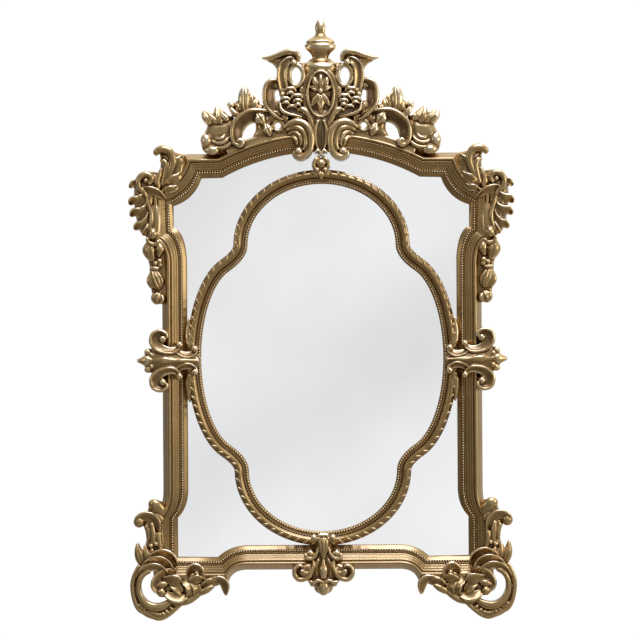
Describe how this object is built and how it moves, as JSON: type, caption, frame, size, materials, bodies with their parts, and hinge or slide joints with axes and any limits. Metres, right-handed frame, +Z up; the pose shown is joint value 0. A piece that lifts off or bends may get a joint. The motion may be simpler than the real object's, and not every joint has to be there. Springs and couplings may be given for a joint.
{
  "type": "wall mirror",
  "caption": "Tall arched wall mirror: moulded antique-gold frame, pierced scroll crest, acanthus shoulders and feet, and a lobed oval inner moulding over silvered glass",
  "frame": {"origin": "the mount wall_back: on the back face of the back board, level with the middle of the oval moulding, on the mirror's middle line", "axes": "+X to the right of someone facing the mirror, +Y into the wall, +Z up; the mirror faces -Y"},
  "size_m": [0.9742, 0.058, 1.4923],
  "materials": {
    "gilt": "antique gold over moulded wood and composition, semi-gloss metallic, brown in the recesses and pale on worn edges",
    "silvered_glass": "plain silvered glass, polished",
    "backing": "plain brown board, matt"
  },
  "bodies": {
    "root": {"outer_frame": "gilt", "oval_frame": "gilt", "crest": "gilt", "shoulder_leaf_left": "gilt", "shoulder_leaf_right": "gilt", "foot_scroll_left": "gilt", "foot_scroll_right": "gilt", "side_clasp_left": "gilt", "side_clasp_right": "gilt", "bottom_clasp": "gilt", "top_clasp": "gilt", "mirror_glass": "silvered_glass", "back_board": "backing"}
  },
  "joints": []
}
